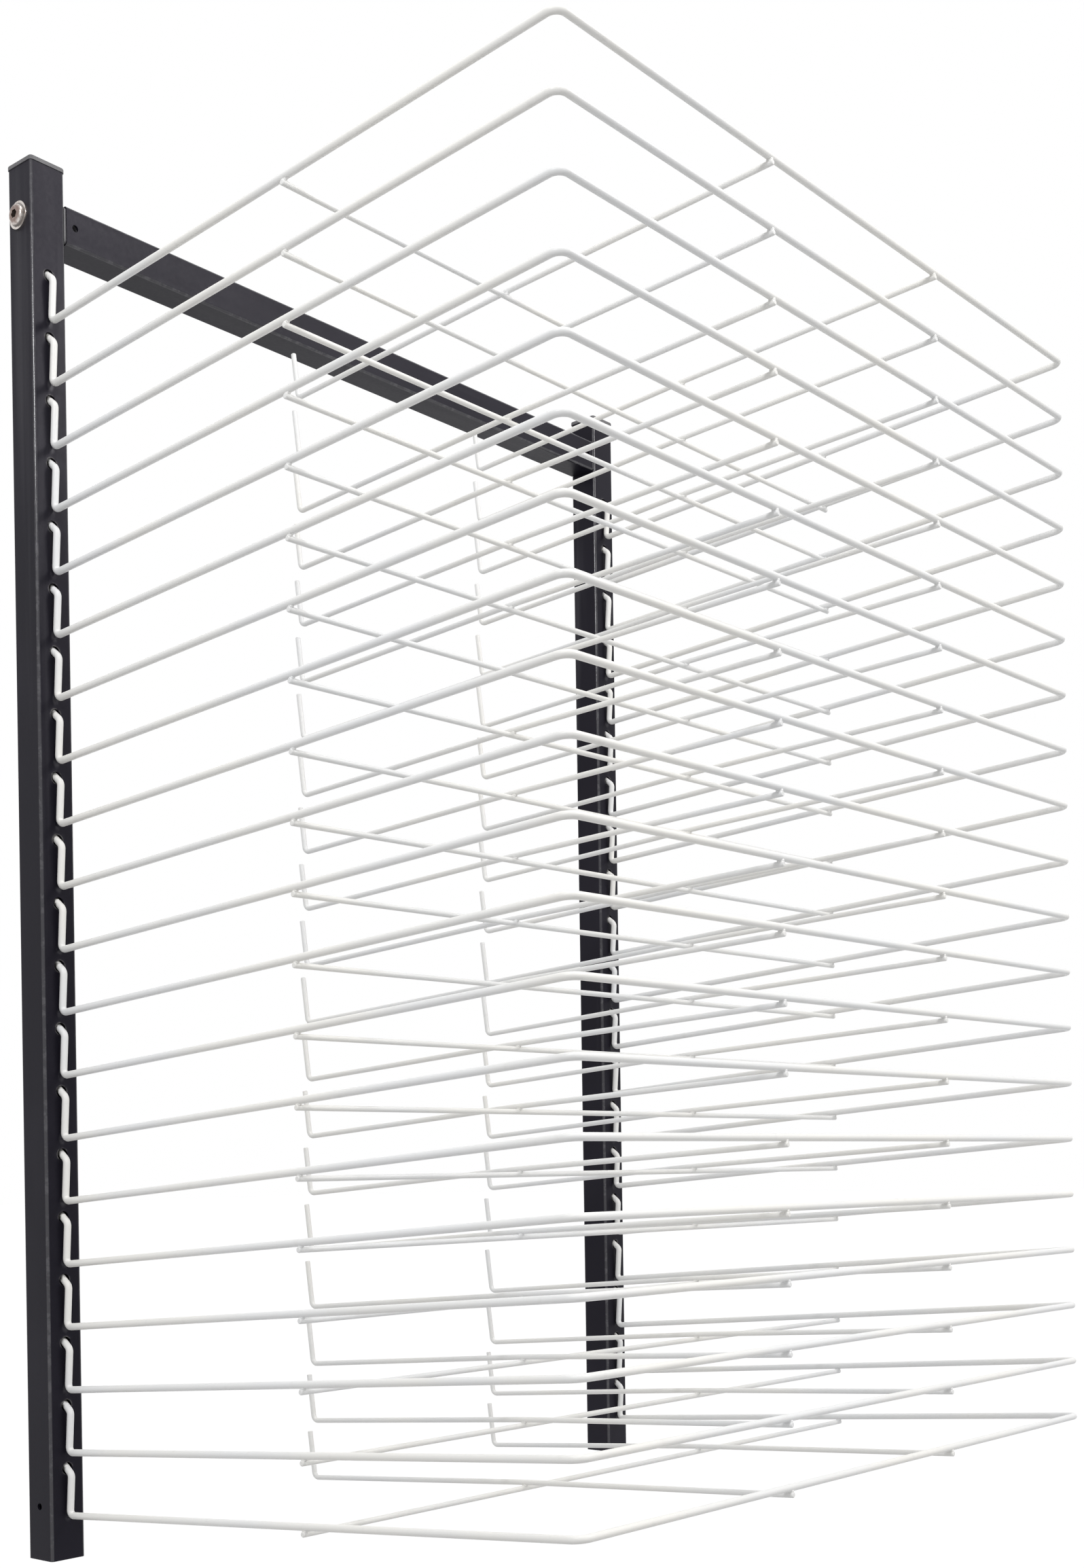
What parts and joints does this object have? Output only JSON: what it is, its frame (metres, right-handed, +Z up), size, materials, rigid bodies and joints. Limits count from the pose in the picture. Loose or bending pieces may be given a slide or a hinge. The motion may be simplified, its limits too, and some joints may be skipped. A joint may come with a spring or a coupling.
{
  "type": "art drying rack",
  "caption": "Wall-mounted drying rack for artwork: hinged wire shelves that hook into two square posts joined by a crossbar.",
  "frame": {"origin": "on the wall plane, midway between the two wall screws in the crossbar", "axes": "+X along the wall, -Y out from the wall towards the user, +Z up"},
  "size_m": [0.5938, 0.4542, 0.891],
  "materials": {
    "tube_coat": "satin charcoal powder coat on steel tube",
    "wire_coat": "glossy white coating on steel wire",
    "cap_plastic": "moulded, lightly textured",
    "plug_plastic": "moulded",
    "bolt_metal": "bright nickel plate"
  },
  "bodies": {
    "rack_frame": {"post_left": "tube_coat", "post_right": "tube_coat", "crossbar": "tube_coat", "post_cap_left": "cap_plastic", "post_cap_right": "cap_plastic", "crossbar_end_plug_left": "plug_plastic", "crossbar_end_plug_right": "plug_plastic", "frame_bolts": "bolt_metal"},
    "shelf_01": {"shelf_01_frame": "wire_coat", "shelf_01_rods": "wire_coat"},
    "shelf_02": {"shelf_02_frame": "wire_coat", "shelf_02_rods": "wire_coat"},
    "shelf_03": {"shelf_03_frame": "wire_coat", "shelf_03_rods": "wire_coat"},
    "shelf_04": {"shelf_04_frame": "wire_coat", "shelf_04_rods": "wire_coat"},
    "shelf_05": {"shelf_05_frame": "wire_coat", "shelf_05_rods": "wire_coat"},
    "shelf_06": {"shelf_06_frame": "wire_coat", "shelf_06_rods": "wire_coat"},
    "shelf_07": {"shelf_07_frame": "wire_coat", "shelf_07_rods": "wire_coat"},
    "shelf_08": {"shelf_08_frame": "wire_coat", "shelf_08_rods": "wire_coat"},
    "shelf_09": {"shelf_09_frame": "wire_coat", "shelf_09_rods": "wire_coat"},
    "shelf_10": {"shelf_10_frame": "wire_coat", "shelf_10_rods": "wire_coat"},
    "shelf_11": {"shelf_11_frame": "wire_coat", "shelf_11_rods": "wire_coat"},
    "shelf_12": {"shelf_12_frame": "wire_coat", "shelf_12_rods": "wire_coat"},
    "shelf_13": {"shelf_13_frame": "wire_coat", "shelf_13_rods": "wire_coat"},
    "shelf_14": {"shelf_14_frame": "wire_coat", "shelf_14_rods": "wire_coat"},
    "shelf_15": {"shelf_15_frame": "wire_coat", "shelf_15_rods": "wire_coat"},
    "shelf_16": {"shelf_16_frame": "wire_coat", "shelf_16_rods": "wire_coat"},
    "shelf_17": {"shelf_17_frame": "wire_coat", "shelf_17_rods": "wire_coat"},
    "shelf_18": {"shelf_18_frame": "wire_coat", "shelf_18_rods": "wire_coat"},
    "shelf_19": {"shelf_19_frame": "wire_coat", "shelf_19_rods": "wire_coat"},
    "shelf_20": {"shelf_20_frame": "wire_coat", "shelf_20_rods": "wire_coat"}
  },
  "joints": [
    {"name": "shelf_01_hinge", "type": "hinge", "parent": "rack_frame", "child": "shelf_01", "pos_m": [0, -0.02425, -0.0375], "axis": [-1, 0, 0], "range_deg": [0, 70]},
    {"name": "shelf_02_hinge", "type": "hinge", "parent": "rack_frame", "child": "shelf_02", "pos_m": [0, -0.02425, -0.0775], "axis": [-1, 0, 0], "range_deg": [0, 70]},
    {"name": "shelf_03_hinge", "type": "hinge", "parent": "rack_frame", "child": "shelf_03", "pos_m": [0, -0.02425, -0.1175], "axis": [-1, 0, 0], "range_deg": [0, 70]},
    {"name": "shelf_04_hinge", "type": "hinge", "parent": "rack_frame", "child": "shelf_04", "pos_m": [0, -0.02425, -0.1575], "axis": [-1, 0, 0], "range_deg": [0, 70]},
    {"name": "shelf_05_hinge", "type": "hinge", "parent": "rack_frame", "child": "shelf_05", "pos_m": [0, -0.02425, -0.1975], "axis": [-1, 0, 0], "range_deg": [0, 70]},
    {"name": "shelf_06_hinge", "type": "hinge", "parent": "rack_frame", "child": "shelf_06", "pos_m": [0, -0.02425, -0.2375], "axis": [-1, 0, 0], "range_deg": [0, 70]},
    {"name": "shelf_07_hinge", "type": "hinge", "parent": "rack_frame", "child": "shelf_07", "pos_m": [0, -0.02425, -0.2775], "axis": [-1, 0, 0], "range_deg": [0, 70]},
    {"name": "shelf_08_hinge", "type": "hinge", "parent": "rack_frame", "child": "shelf_08", "pos_m": [0, -0.02425, -0.3175], "axis": [-1, 0, 0], "range_deg": [0, 70]},
    {"name": "shelf_09_hinge", "type": "hinge", "parent": "rack_frame", "child": "shelf_09", "pos_m": [0, -0.02425, -0.3575], "axis": [-1, 0, 0], "range_deg": [0, 70]},
    {"name": "shelf_10_hinge", "type": "hinge", "parent": "rack_frame", "child": "shelf_10", "pos_m": [0, -0.02425, -0.3975], "axis": [-1, 0, 0], "range_deg": [0, 70]},
    {"name": "shelf_11_hinge", "type": "hinge", "parent": "rack_frame", "child": "shelf_11", "pos_m": [0, -0.02425, -0.4375], "axis": [-1, 0, 0], "range_deg": [0, 70]},
    {"name": "shelf_12_hinge", "type": "hinge", "parent": "rack_frame", "child": "shelf_12", "pos_m": [0, -0.02425, -0.4775], "axis": [-1, 0, 0], "range_deg": [0, 70]},
    {"name": "shelf_13_hinge", "type": "hinge", "parent": "rack_frame", "child": "shelf_13", "pos_m": [0, -0.02425, -0.5175], "axis": [-1, 0, 0], "range_deg": [0, 70]},
    {"name": "shelf_14_hinge", "type": "hinge", "parent": "rack_frame", "child": "shelf_14", "pos_m": [0, -0.02425, -0.5575], "axis": [-1, 0, 0], "range_deg": [0, 70]},
    {"name": "shelf_15_hinge", "type": "hinge", "parent": "rack_frame", "child": "shelf_15", "pos_m": [0, -0.02425, -0.5975], "axis": [-1, 0, 0], "range_deg": [0, 70]},
    {"name": "shelf_16_hinge", "type": "hinge", "parent": "rack_frame", "child": "shelf_16", "pos_m": [0, -0.02425, -0.6375], "axis": [-1, 0, 0], "range_deg": [0, 70]},
    {"name": "shelf_17_hinge", "type": "hinge", "parent": "rack_frame", "child": "shelf_17", "pos_m": [0, -0.02425, -0.6775], "axis": [-1, 0, 0], "range_deg": [0, 70]},
    {"name": "shelf_18_hinge", "type": "hinge", "parent": "rack_frame", "child": "shelf_18", "pos_m": [0, -0.02425, -0.7175], "axis": [-1, 0, 0], "range_deg": [0, 70]},
    {"name": "shelf_19_hinge", "type": "hinge", "parent": "rack_frame", "child": "shelf_19", "pos_m": [0, -0.02425, -0.7575], "axis": [-1, 0, 0], "range_deg": [0, 70]},
    {"name": "shelf_20_hinge", "type": "hinge", "parent": "rack_frame", "child": "shelf_20", "pos_m": [0, -0.02425, -0.7975], "axis": [-1, 0, 0], "range_deg": [0, 70]}
  ],
  "couplings": [
    {"joint": "shelf_01_hinge", "follows": "shelf_20_hinge", "ratio": 1},
    {"joint": "shelf_02_hinge", "follows": "shelf_20_hinge", "ratio": 1},
    {"joint": "shelf_03_hinge", "follows": "shelf_20_hinge", "ratio": 1},
    {"joint": "shelf_04_hinge", "follows": "shelf_20_hinge", "ratio": 1},
    {"joint": "shelf_05_hinge", "follows": "shelf_20_hinge", "ratio": 1},
    {"joint": "shelf_06_hinge", "follows": "shelf_20_hinge", "ratio": 1},
    {"joint": "shelf_07_hinge", "follows": "shelf_20_hinge", "ratio": 1},
    {"joint": "shelf_08_hinge", "follows": "shelf_20_hinge", "ratio": 1},
    {"joint": "shelf_09_hinge", "follows": "shelf_20_hinge", "ratio": 1},
    {"joint": "shelf_10_hinge", "follows": "shelf_20_hinge", "ratio": 1},
    {"joint": "shelf_11_hinge", "follows": "shelf_20_hinge", "ratio": 1},
    {"joint": "shelf_12_hinge", "follows": "shelf_20_hinge", "ratio": 1},
    {"joint": "shelf_13_hinge", "follows": "shelf_20_hinge", "ratio": 1},
    {"joint": "shelf_14_hinge", "follows": "shelf_20_hinge", "ratio": 1},
    {"joint": "shelf_15_hinge", "follows": "shelf_20_hinge", "ratio": 1},
    {"joint": "shelf_16_hinge", "follows": "shelf_20_hinge", "ratio": 1},
    {"joint": "shelf_17_hinge", "follows": "shelf_20_hinge", "ratio": 1},
    {"joint": "shelf_18_hinge", "follows": "shelf_20_hinge", "ratio": 1},
    {"joint": "shelf_19_hinge", "follows": "shelf_20_hinge", "ratio": 1}
  ]
}
